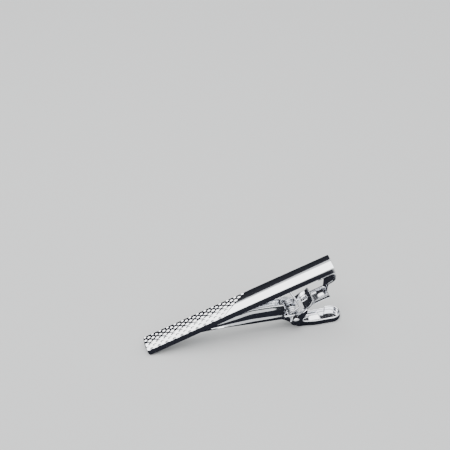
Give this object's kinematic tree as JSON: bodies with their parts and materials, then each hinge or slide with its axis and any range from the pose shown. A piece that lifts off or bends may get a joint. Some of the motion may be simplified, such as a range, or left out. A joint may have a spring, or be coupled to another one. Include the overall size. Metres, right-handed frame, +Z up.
{
  "type": "tie clip",
  "caption": "Tie clip: a long crowned bar, knurled at its free end, bent at the other into a strip that carries a sprung jaw with a thumb lever.",
  "frame": {"origin": "under the middle of the clip, on the surface that it stands on", "axes": "+X from the bar's free end to its bent end, +Y across the bar, +Z up as the clip stands on its free end and its lever"},
  "size_m": [0.0582, 0.0084, 0.0214],
  "materials": {
    "bar_chrome": "polished chrome plate",
    "clasp_chrome": "bright plated sheet",
    "solder": "plated solder",
    "pin_steel": "bright riveted steel",
    "spring_steel": "bright drawn wire"
  },
  "bodies": {
    "bar": {"front_bar": "bar_chrome", "solder_fillets": "solder", "return_strip": "clasp_chrome", "clasp_bracket": "clasp_chrome", "hinge_pin": "pin_steel", "torsion_spring": "spring_steel"},
    "jaw": {"jaw_lever": "clasp_chrome", "spring_lever_leg": "spring_steel"}
  },
  "joints": [
    {"name": "jaw_hinge", "type": "hinge", "parent": "bar", "child": "jaw", "pos_m": [0.0148, 0, 0.00395], "axis": [0, -1, 0], "range_deg": [0, 26], "stiffness_Nm_per_rad": 0.001, "springref_deg": -68.75}
  ]
}
